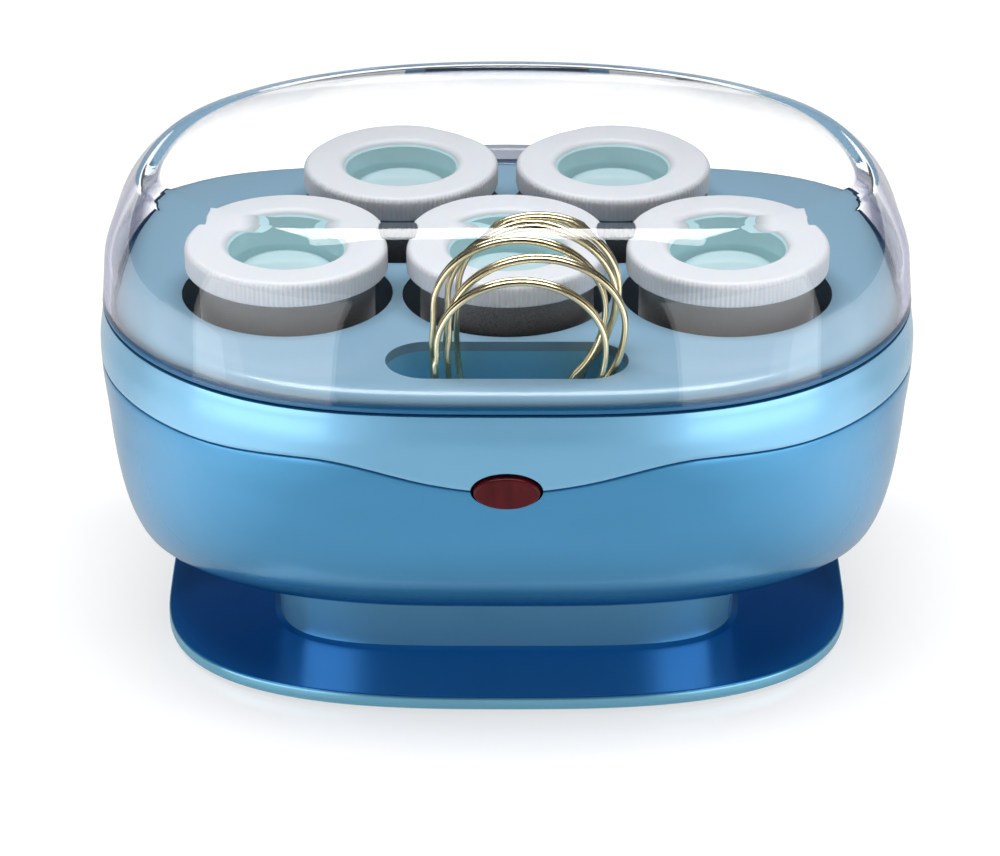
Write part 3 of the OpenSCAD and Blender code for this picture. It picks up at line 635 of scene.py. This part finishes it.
ROCKER_W, ROCKER_H = rocker_high[0] - rocker_low[0], 10.4 * MM
ROCKER_GAP = 0.8 * MM
SWITCH_Z = RIM_Z - 23.6 * MM


def cut_rocker_hole(piece):
    bm = bmesh.new()
    add_oval(bm, ROCKER_W + 2 * ROCKER_GAP, ROCKER_H + 2 * ROCKER_GAP, SWITCH_Z,
             [(-HALF_FRONT - 6 * MM, 1), (-HALF_FRONT + 12 * MM, 1)])
    cut_away(piece, [cutter_object(bm)])


def build_upper_housing():
    """The pale belt with its rolled rim and, inside, the ledge that holds the deck."""
    rim = [(3.8, 0), (2.4, 0), (1.3, 0.05), (0.6, 0.25), (0.15, 0.55)]      # inset, drop in mm
    ledge = [(3, 5), (6.8, 2), (6.8, 0), (4, 0)]                            # inset, drop in mm
    bands = 14
    rings = [ring(rim_outline(inset * MM), RIM_Z - drop * MM) for inset, drop in rim]
    rings += [upper_ring(k / bands, 0, SEAM_EDGE) for k in range(1, bands + 1)]
    rings += [upper_ring(1, SEAM_LIP, SEAM_LIP_DROP), upper_ring(1, SEAM_EDGE), upper_ring(1, WALL)]
    rings += [ring(rim_outline(inset * MM), LEDGE_Z - drop * MM) for inset, drop in ledge]
    bm = bmesh.new()
    add_rings(bm, rings, closed=True)
    cut_rocker_hole(mesh_object("upper_housing_shell", bm, "base", "light_blue_plastic",
                                ["upper_housing"]))


def build_lower_housing():
    """The bowl."""
    floor_inset = 12 * MM
    turn_under = [(72.5 * MM, 0.1 * MM), (73.5 * MM, 0.6 * MM), (BOWL_DEPTH, 1.6 * MM),
                  (BOWL_DEPTH, floor_inset)]                                # depth, inset
    inner_bands, outer_bands = 18, 36
    inner_z = FLOOR_Z + WALL
    rings = [ring(bowl_outline(BOWL_DEPTH, inset), inner_z)
             for inset in (WALL + floor_inset, WALL + 2 * MM)]
    rings += [lower_ring(1 - k / inner_bands, WALL) for k in range(1, inner_bands + 1)]
    rings += [lower_ring(0, SEAM_EDGE), lower_ring(0, SEAM_LIP, SEAM_LIP_DROP)]
    rings += [lower_ring(k / outer_bands, 0, SEAM_EDGE) for k in range(outer_bands + 1)]
    rings += [ring(bowl_outline(depth, inset), RIM_Z - depth) for depth, inset in turn_under]
    bm = bmesh.new()
    add_capped(bm, rings, (0, 0, inner_z), (0, 0, FLOOR_Z))
    cut_rocker_hole(mesh_object("lower_housing_shell", bm, "base", "blue_plastic",
                                ["lower_housing"]))


def build_hinge_ears():
    """The two ears that hold the lid's pin."""
    width = 6 * MM
    root_y, root_low, root_high = HALF_BACK - 1.5 * MM, HINGE_Z - 13 * MM, RIM_Z - 0.2 * MM
    side = [(root_y, root_low), (HALF_BACK + 1.4 * MM, root_low),
            (HINGE_Y + 3 * MM, HINGE_Z - 2 * MM)]
    side += arc(HINGE_Y, HINGE_Z, KNUCKLE_R, -25, 150, 24)
    side += [(HALF_BACK + 0.8 * MM, root_high), (root_y, root_high)]
    bm = bmesh.new()
    for start in (pin_low[0], -pin_low[0] - width):
        face = bm.faces.new([bm.verts.new((start, y, z)) for y, z in side])
        made = bmesh.ops.extrude_face_region(bm, geom=[face])["geom"]
        made = [v for v in made if isinstance(v, bmesh.types.BMVert)]
        bmesh.ops.translate(bm, vec=(width, 0, 0), verts=made)
    edges = [e for e in bm.edges if is_sharp(e, 60)]
    bmesh.ops.bevel(bm, geom=edges, offset=0.5 * MM, segments=3, profile=0.5, affect="EDGES")
    mesh_object("hinge_ears", bm, "base", "light_blue_plastic")


def build_pedestal():
    """A squarish neck and a dished foot that bows at the front, hollow below."""
    neck_w, neck_d = 68.5 * MM, 38 * MM
    neck_n, foot_n = 4, 2.8
    foot_w, foot_front, foot_back = foot_high[0], -foot_low[1], foot_high[1]
    under_z = foot_low[2]
    rim_z, inner_z = 5.4 * MM, 3.6 * MM
    flare = 1.5 * MM                   # how much wider the neck is all the way up
    deep = 0.8 * MM                    # of the foot's dish
    edge = 0.9 * MM                    # rounding of the foot's rim
    cord_hole = 12 * MM

    def section(k, inset, z):
        """k runs from 0 at the neck to 1 at the foot's rim."""
        def power(s):
            return neck_n - (neck_n - foot_n) * k if s < 0 else neck_n

        return ring(superellipse(neck_w + (foot_w - neck_w) * k - inset,
                                 neck_d + (foot_front - neck_d) * k - inset,
                                 neck_d + (foot_back - neck_d) * k - inset, power), z)

    def dish(k):
        return rim_z - deep + deep * k * k

    top, bottom = FLOOR_Z - 1 * MM, rim_z + 0.9 * MM
    rings = [section(0, 12 * MM, FLOOR_Z), section(0, 0.8 * MM - flare, FLOOR_Z)]
    rings += [section(0, -flare * (1 - k / 8), top + (bottom - top) * k / 8) for k in range(9)]
    rings += [section(0.0003 * k * k, 0, dish(0) + (0.85 - 0.17 * k) * MM) for k in range(1, 5)]
    rings += [section(k, 0, dish(k)) for k in [step / 16 for step in range(1, 16)] + [0.965]]
    rings += [section(1, edge - x, z) for x, z in arc(0, rim_z - edge, edge, 90, 0, 5)]
    rings += [section(1, 0, rim_z - 2 * MM), section(1, 0, under_z + 0.5 * MM)]
    rings += [section(1, 0.3 * MM, under_z), section(1, WALL, under_z), section(1, WALL, inner_z)]
    rings += [section(0.1, 0, inner_z), section(0, WALL, rim_z + 2 * MM),
              section(0, WALL, FLOOR_Z - WALL)]
    bm = bmesh.new()
    add_capped(bm, rings, (0, 0, FLOOR_Z), (0, 0, FLOOR_Z - WALL))
    piece = mesh_object("pedestal_shell", bm, "base", "dark_blue_plastic", ["pedestal"])
    hole = bmesh.new()
    add_oval(hole, cord_hole, cord_hole, RELIEF_Z, [(neck_d - 6 * MM, 1), (neck_d + 2 * MM, 1)])
    cut_away(piece, [cutter_object(hole)])


# ---------- deck ----------

WELL_R = 30.6 * MM
WELL_WALL = 1 * MM
UNDER_DECK_Z = DECK_Z - 3 * MM
SLOT_LEN, SLOT_W = 69 * MM, 24 * MM
SLOT_Y = -54 * MM
SLOT_FLOOR_Z = DECK_Z - 21.5 * MM
SLOT_WALL = 1.5 * MM


def stadium(margin=0.0, steps=32):
    """The slot's rounded outline, widened by a margin."""
    half, r = (SLOT_LEN - SLOT_W) / 2, SLOT_W / 2 + margin
    right = [(half + r * math.cos(a), SLOT_Y + r * math.sin(a))
             for a in (math.pi * (k / steps - 0.5) for k in range(steps + 1))]
    return right + [(-x, 2 * SLOT_Y - y) for x, y in right]


def build_deck():
    """The deck with its rolled shoulder, five wells and the clips' slot."""
    # Share of the way in from the deck's edge, and height in mm.
    shoulder = [(0, -7.0), (0, -4.2), (0.02, -3.4), (0.07, -2.5), (0.15, -1.75), (0.25, -1.15),
                (0.38, -0.68), (0.53, -0.34), (0.7, -0.12), (0.86, -0.03), (1, 0)]
    rings = [ring(deck_outline(0.6), UNDER_DECK_Z), ring(deck_outline(0.6), LEDGE_Z)]
    rings += [ring(deck_outline(k), DECK_Z + z * MM) for k, z in shoulder]
    rings += [ring(deck_outline(1.6), DECK_Z)]
    bm = bmesh.new()
    add_capped(bm, rings, (0, 0, UNDER_DECK_Z), (0, 0, DECK_Z))
    piece = mesh_object("deck_plate", bm, "base", "deck_plastic", ["roller_deck"])

    low, high = UNDER_DECK_Z - 9 * MM, DECK_Z + 5 * MM
    holes = [(roller_place(name), lathe([(WELL_R, low), (WELL_R, high)], roller_place(name), 128))
             for name in ROLLERS]
    holes.append(((0, SLOT_Y), [ring(stadium(), z) for z in (low, high)]))
    cutters = []
    for (x, y), rings in holes:
        bm = bmesh.new()
        add_capped(bm, rings, (x, y, low), (x, y, high))
        cutters.append(cutter_object(bm))
    cut_away(piece, cutters)
    soften = piece.modifiers.new("edge", "BEVEL")
    soften.width = 0.8 * MM
    soften.segments = 3
    soften.limit_method = "ANGLE"
    soften.angle_limit = math.radians(50)


def build_wells():
    """A round liner under each hole and a pocket under the slot."""
    outer = WELL_R + WELL_WALL
    for name in ROLLERS:
        bm = bmesh.new()
        profile = [(WELL_R, UNDER_DECK_Z), (outer, UNDER_DECK_Z), (outer, PLATE_TOP_Z),
                   (WELL_R, PLATE_TOP_Z)]
        add_rings(bm, lathe(profile, roller_place(name), 128), closed=True)
        mesh_object("well_liner_" + name, bm, "base", "deck_plastic")
    below = SLOT_FLOOR_Z - SLOT_WALL
    bm = bmesh.new()
    add_capped(bm, [ring(stadium(), SLOT_FLOOR_Z), ring(stadium(), UNDER_DECK_Z),
                    ring(stadium(SLOT_WALL), UNDER_DECK_Z), ring(stadium(SLOT_WALL), below)],
               (0, SLOT_Y, SLOT_FLOOR_Z), (0, SLOT_Y, below))
    pocket = mesh_object("clip_pocket", bm, "base", "deck_plastic")
    # Painted light: the pocket takes a brighter, bluer copy of the deck plastic, lifting the shade
    # inside the slot.
    paint(pocket, plastic("deck_plastic_painted_light", (0.26, 0.68, 0.95), 0.28, fleck=0.02))


# ---------- rollers ----------

BORE = 17 * MM
RIBS = 132
RIB_DEPTH = 0.28 * MM
RIB_REACH = 1.2 * MM               # the ribs fade out this far in from a rim's edge
EYE_ROUND = 2.6 * MM
EDGE_ROUND = 2 * MM
FOOT_ROUND = 0.8 * MM


def build_roller(name):
    """Two ribbed rims with a smooth liner in each bore, and a flocked sleeve between them."""
    low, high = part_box(name + "_top_rim")
    bottom_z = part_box(name + "_bottom_rim")[0][2]
    sleeve_low, sleeve_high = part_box(name + "_sleeve")
    middle, body = roller_place(name), name + "_roller"
    radius, thick = (high[0] - low[0]) / 2, high[2] - low[2]

    def ribbed(r, a):
        if r < radius - RIB_REACH:
            return r
        fade = min(1, (r - radius + RIB_REACH) / (1.0 * MM))
        return r - RIB_DEPTH * (0.5 - 0.5 * math.cos(RIBS * a)) * fade

    rim = [(BORE, -thick)]
    rim += arc(BORE + EYE_ROUND, -EYE_ROUND, EYE_ROUND, 180, 90)
    rim += arc(radius - EDGE_ROUND, -EDGE_ROUND, EDGE_ROUND, 90, 0)
    rim += [(radius, -thick * 0.5), (radius, FOOT_ROUND - thick)]
    rim += arc(radius - FOOT_ROUND, FOOT_ROUND - thick, FOOT_ROUND, 0, -90, 4)
    liner_r = BORE - 0.35 * MM
    liner = [(BORE + 0.25 * MM, -1.6 * MM), (liner_r, -2.2 * MM), (liner_r, -thick), (BORE, -thick)]
    for part, face_z, up in (("top_rim", high[2], 1), ("bottom_rim", bottom_z, -1)):
        node = "%s_%s" % (name, part)
        bm = bmesh.new()
        profile = [(r, face_z + up * z) for r, z in rim]
        add_rings(bm, lathe(profile, middle, RIBS * 6, ribbed), closed=True)
        mesh_object(node + "_ribbed", bm, body, "white_plastic", [node])
        bm = bmesh.new()
        add_rings(bm, lathe([(r, face_z + up * z) for r, z in liner], middle), closed=True)
        mesh_object(node + "_eye", bm, body, "wax_core")

    outer = (sleeve_high[0] - sleeve_low[0]) / 2
    inner, bottom, top = outer - 2 * MM, sleeve_low[2], sleeve_high[2]
    profile = [(inner, bottom)] + [(outer, bottom + (top - bottom) * k / 8) for k in range(9)]
    profile += [(inner, top)]
    bm = bmesh.new()
    add_rings(bm, lathe(profile, middle, 160), closed=True)
    mesh_object(name + "_flocked_sleeve", bm, body, "flocking", [name + "_sleeve"])


def build_posts():
    """Hollow heated posts with domed tops."""
    low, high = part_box("heating_posts")
    bottom, top = low[2], high[2]
    radius, wall, dome = 16.2 * MM, 2 * MM, 7 * MM
    shoulder = top - dome - 4 * MM
    profile = [(radius - wall, shoulder), (radius - wall, bottom), (radius, bottom),
               (radius, shoulder - 16 * MM), (radius, shoulder)]
    profile += arc(radius - dome, top - dome, dome, 0, 90, 12)
    for name in ROLLERS:
        x, y = roller_place(name)
        bm = bmesh.new()
        add_capped(bm, lathe(profile, (x, y)), (x, y, shoulder), (x, y, top))
        mesh_object("heated_post_" + name, bm, "base", "aluminium",
                    ["heating_posts"] if name == ROLLERS[0] else [])


# ---------- clips ----------

# Each clip in mm, front to back: the loop's middle, its half width and its height.
CLIPS = [(4, 24, 30), (8.5, 25, 35), (3.5, 24.5, 38.5), (7, 24, 40), (9, 23, 40.5)]
CLIP_PITCH = 4.4 * MM
STRAND_Y = 1.05 * MM               # each of a clip's two strands stands this far from its middle
WIRE_R = 0.85 * MM


def strand(middle, w, h):
    """One strand of a clip in mm, seen from the front: a leg, an open loop and its tail."""
    deck, foot = DECK_Z / MM, SLOT_FLOOR_Z / MM + 1.4
    reach, tail_reach = 20.8, 20.8 * 1.35          # the loop's half height, and the tail's
    first_angle, turn, turns = -100, 17.5, 15
    loop_z = deck + h - 22
    points = [(middle - w + 1.5, foot), (middle - w - 0.6, deck + 3)]
    for k in range(turns):
        a = first_angle + turn * k
        points.append((middle + w * math.sin(math.radians(a)),
                       loop_z + (tail_reach if a > 90 else reach) * math.cos(math.radians(a))))
    return points + [(middle + w * 0.45, foot)]


def build_clips():
    for k, clip in enumerate(CLIPS):
        y = SLOT_Y + CLIP_PITCH * (k - 2)
        points = strand(*clip)
        path = [(px * MM, y - STRAND_Y, pz * MM) for px, pz in reversed(points)]
        path += [(px * MM, y + STRAND_Y, pz * MM) for px, pz in points]
        bm = bmesh.new()
        add_tube(bm, smooth_path(path), WIRE_R, 14)
        node = "clip_%d" % (k + 1)
        mesh_object("wire_" + node, bm, node + "_body", "gold_wire", [node])


# ---------- rocker ----------

def build_rocker():
    """The oval rocker at rest: tilted a little, with a rounded edge, a crowned face and a stem."""
    pivot = Vector((0, -HALF_FRONT + 6 * MM, SWITCH_Z))
    face_y = -HALF_FRONT - 1.4 * MM
    edge, taper, bulge = 1.2 * MM, 0.12, 0.12 * MM
    sections = [(face_y + 4 * MM, 0.9), (face_y + 4 * MM, 0.985), (face_y + edge, 1.0)]
    sections += [(face_y + (1 - s) * edge, 1 - taper * (1 - math.cos(math.asin(s))))
                 for s in (0.3, 0.55, 0.75, 0.9, 1.0)]
    sections += [(face_y + bulge * (1 - size), size) for size in (0.82, 0.7, 0.5, 0.25)]
    bm = bmesh.new()
    add_oval(bm, ROCKER_W, ROCKER_H, SWITCH_Z, sections)
    add_box(bm, (-6 * MM, pivot.y - 4.2 * MM, SWITCH_Z - 2.4 * MM),
            (6 * MM, pivot.y - 1.7 * MM, SWITCH_Z + 2.4 * MM))
    tilt = Matrix.Rotation(math.radians(4), 4, "X")
    turn = Matrix.Translation(pivot) @ tilt @ Matrix.Translation(-pivot)
    bmesh.ops.transform(bm, matrix=turn, verts=bm.verts)
    mesh_object("oval_rocker", bm, "rocker", "red_plastic", ["rocker_cap"])


# ---------- lid ----------

LID_WALL = 2.6 * MM
LID_H = 53.7 * MM
FRONT_CREASE_H = 48 * MM
SIDE_LEAN, FRONT_LEAN, BACK_LEAN = 11.6 * MM, 20.4 * MM, 16.5 * MM
CREASE_ARCH = 0.72                 # per metre: the crease falls towards the sides
CREASE_SLOPE = 0.022               # and towards the back
CROWN_H = LID_H - FRONT_CREASE_H + CREASE_SLOPE * (HALF_FRONT - FRONT_LEAN)


def lean(t):
    """How far the sides and back lean in at a share t of the wall's height."""
    even, bend, bend_power = 0.235, 0.404, 1.5
    return even * t + (1 - even) * (max(0, t - bend) / (1 - bend)) ** bend_power


def front_lean(t):
    """The front leans evenly and turns in just below the crease."""
    even, turn_power = 0.62, 7
    return even * t + (1 - even) * t ** turn_power


def crease(x, y):
    """Height of the arched crease between wall and crown over a point."""
    return FRONT_CREASE_H - CREASE_ARCH * x * x - CREASE_SLOPE * (y + HALF_FRONT - FRONT_LEAN)


def lid_outline(t, inset, s=1):
    front_rounder, back_rounder = 0.39, 1.83       # the outline grows rounder up to the crease
    k = lean(t)
    return outline((HALF_W - inset - SIDE_LEAN * k) * s,
                   (HALF_FRONT - inset - FRONT_LEAN * front_lean(t)) * s,
                   (HALF_BACK - inset - BACK_LEAN * k) * s,
                   FRONT_N - front_rounder * k, BACK_N - back_rounder * k)


def lid_wall(t, inset, lift):
    return [(x, y, LID_BASE_Z + max(0, t * crease(x, y) + lift))
            for x, y in lid_outline(t, inset)]


def lid_top(s, inset, lift):
    return [(x, y, LID_BASE_Z + crease(x, y) + CROWN_H * (1 - s * s) + lift)
            for x, y in lid_outline(1, inset, s)]


def build_lid():
    """The clear lid, with a tab and knuckle for the hinge."""
    tops = [0.08, 0.2, 0.35, 0.5, 0.65, 0.78, 0.88, 0.95]
    bands = 28
    walls = [1 - k / bands for k in range(bands)]
    edge = 0.7 * MM
    rings = [lid_top(s, 0, 0) for s in tops] + [lid_wall(t, 0, 0) for t in walls]
    for width, start, end in ((edge, 0, -90), (LID_WALL - edge, -90, -180)):
        rings += [ring(lid_outline(0, width - r), LID_BASE_Z + z)
                  for r, z in arc(0, edge, edge, start, end, 4)]
    rings += [lid_wall(t, LID_WALL, -LID_WALL * t) for t in reversed(walls)]
    rings += [lid_top(s, LID_WALL, -LID_WALL) for s in reversed(tops)]
    bm = bmesh.new()
    add_capped(bm, rings, (0, 0, LID_BASE_Z + LID_H), (0, 0, LID_BASE_Z + LID_H - LID_WALL))
    piece = mesh_object("clear_lid", bm, "lid", "clear_plastic", ["lid"], sharp=60)

    half = 24 * MM
    tab = bmesh.new()
    add_box(tab, (-half, HALF_BACK - 1.6 * MM, LID_BASE_Z + 0.9 * MM),
            (half, HINGE_Y, LID_BASE_Z + 3.3 * MM), 0.3 * MM)
    bore, chamfer = 1.6 * MM, 0.5 * MM
    profile = [(bore, -half), (KNUCKLE_R - chamfer, -half), (KNUCKLE_R, -half + chamfer),
               (KNUCKLE_R, half - chamfer), (KNUCKLE_R - chamfer, half), (bore, half)]
    knuckle = bmesh.new()
    add_rings(knuckle, lathe(profile, (0, 0), 64), closed=True)
    place = Matrix.Translation((0, HINGE_Y, HINGE_Z)) @ Matrix.Rotation(math.pi / 2, 4, "Y")
    bmesh.ops.transform(knuckle, matrix=place, verts=knuckle.verts)
    cut_away(piece, [cutter_object(tab), cutter_object(knuckle)], "UNION", 50)


# ---------- cord ----------

def bend(a, b, c, n):
    """Points along a bend from a to c, pulled towards b."""
    a, b, c = Vector(a), Vector(b), Vector(c)
    return [a * (1 - t) ** 2 + b * 2 * t * (1 - t) + c * t * t
            for t in (k / n for k in range(n + 1))]


def build_cord():
    """The cord leaves the neck's back and lies in a flat hank behind the foot."""
    exit_y = relief_high[1]
    r = 3.2 * MM
    start_y, pitch, half, runs = 100 * MM, 10 * MM, 30 * MM, 5
    path = bend((0, 0, FLOOR_Z + 14 * MM), (0, -4 * MM, RELIEF_Z),
                (0, exit_y - 28 * MM, RELIEF_Z), 12)
    path += bend((0, exit_y + 2 * MM, RELIEF_Z), (-6 * MM, start_y, r), (14 * MM, start_y, r), 24)
    for k in range(runs - 1):
        side = 1 if k % 2 == 0 else -1
        for step in range(13):
            a = math.radians(-90 + 15 * step)
            path.append((side * (half + pitch / 2 * math.cos(a)),
                         start_y + pitch * (k + 0.5) + pitch / 2 * math.sin(a), r))
    path.append((half + 8 * MM, start_y + pitch * (runs - 1), r))
    bm = bmesh.new()
    add_tube(bm, path, r, 24)
    mesh_object("mains_cord", bm, "base", "cord_rubber", ["power_cord"])


build_upper_housing()
build_hinge_ears()
build_lower_housing()
build_pedestal()
build_deck()
build_wells()
for roller in ROLLERS:
    build_roller(roller)
build_posts()
build_clips()
build_rocker()
build_lid()
build_cord()


# ---------- floor, light and camera ----------

def build_floor():
    """A plain pale floor that is lit differently for the camera, the lid and the gloss."""
    size = 6
    bm = bmesh.new()
    corners = [(-size, -size), (size, -size), (size, size), (-size, size)]
    bm.faces.new([bm.verts.new((x, y, 0)) for x, y in corners])
    floor = new_object("floor", bm)
    material, net, shader = new_material("floor_white")
    place = net.add("TexCoord").outputs["Object"]
    beside = net.map_range(net.math("ABSOLUTE", net.axis(place, "X")), 0.1, 0.19, 0, 0.65)
    in_front = net.map_range(net.axis(place, "Y"), -0.04, 0.06, 1, 0)
    bounced = net.map_range(net.math("MULTIPLY", beside, in_front), 0, 1, 0.2, 1.2)
    net.fill(shader, {
        "Base Color": net.ramp(net.noise(30), grey(0.44), grey(0.45)),
        "Roughness": 0.06,
        "Emission Color": (1, 1, 1, 1),
        "Emission Strength": net.greatest(bounced, net.when("Is Camera Ray", 0.63),
                                          net.when("Is Transmission Ray", 1.55))})
    paint(floor, material)


def build_world():
    """A studio in the Background node's default dim grey: strongest behind and above, weakest in
    front, so that the gloss keeps its colour.
    """
    world = bpy.data.worlds.new("studio")
    bpy.context.scene.world = world
    world.use_nodes = True
    net = Net(world.node_tree)
    place = net.add("TexCoord").outputs["Generated"]
    behind = net.map_range(net.axis(place, "Y"), 0.3, 0.75, 0.22, 1.5)
    above = net.map_range(net.axis(place, "Z"), 0.4, 0.8, 0.0, 1.0)
    net.fill(net.nodes["Background"], {"Strength": net.greatest(
        behind, above, net.when("Is Camera Ray", 1), net.when("Is Transmission Ray", 1.7))})


def area_light(name, place, target, size, size_y, power):
    data = bpy.data.lights.new(name, "AREA")
    data.energy = power
    data.shape = "RECTANGLE"
    data.size, data.size_y = size, size_y
    light = bpy.data.objects.new(name, data)
    light.location = place
    light.rotation_euler = (Vector(target) - Vector(place)).to_track_quat("-Z", "Y").to_euler()
    bpy.context.collection.objects.link(light)


def build_camera():
    """The photograph's view: level with X, looking down at the rim from far off."""
    data = bpy.data.cameras.new("camera")
    data.sensor_width = 36
    data.lens = 158.7
    data.clip_end = 50
    camera = bpy.data.objects.new("camera", data)
    distance, elevation = 1.3, math.radians(25.5)
    aim_below, roll = math.radians(1.88), math.radians(0.1)
    rim = Vector((0, 0, DECK_Z - 2 * MM))
    camera.location = rim + distance * Vector((0, -math.cos(elevation), math.sin(elevation)))
    camera.rotation_euler = (math.pi / 2 - elevation - aim_below, 0, roll)
    bpy.context.collection.objects.link(camera)
    bpy.context.scene.camera = camera


build_floor()
build_world()
build_camera()
area_light("top_softbox", (0, 0.05, 1.5), (0, 0, 0.1), 1.5, 0.7, 30)
for side_name, side_x in (("left", -0.38), ("right", 0.38)):
    area_light(side_name + "_panel", (side_x, -0.34, 0.15), (0, 0, 0.09), 0.46, 0.3, 0.75)
bpy.context.scene.view_settings.view_transform = "Standard"
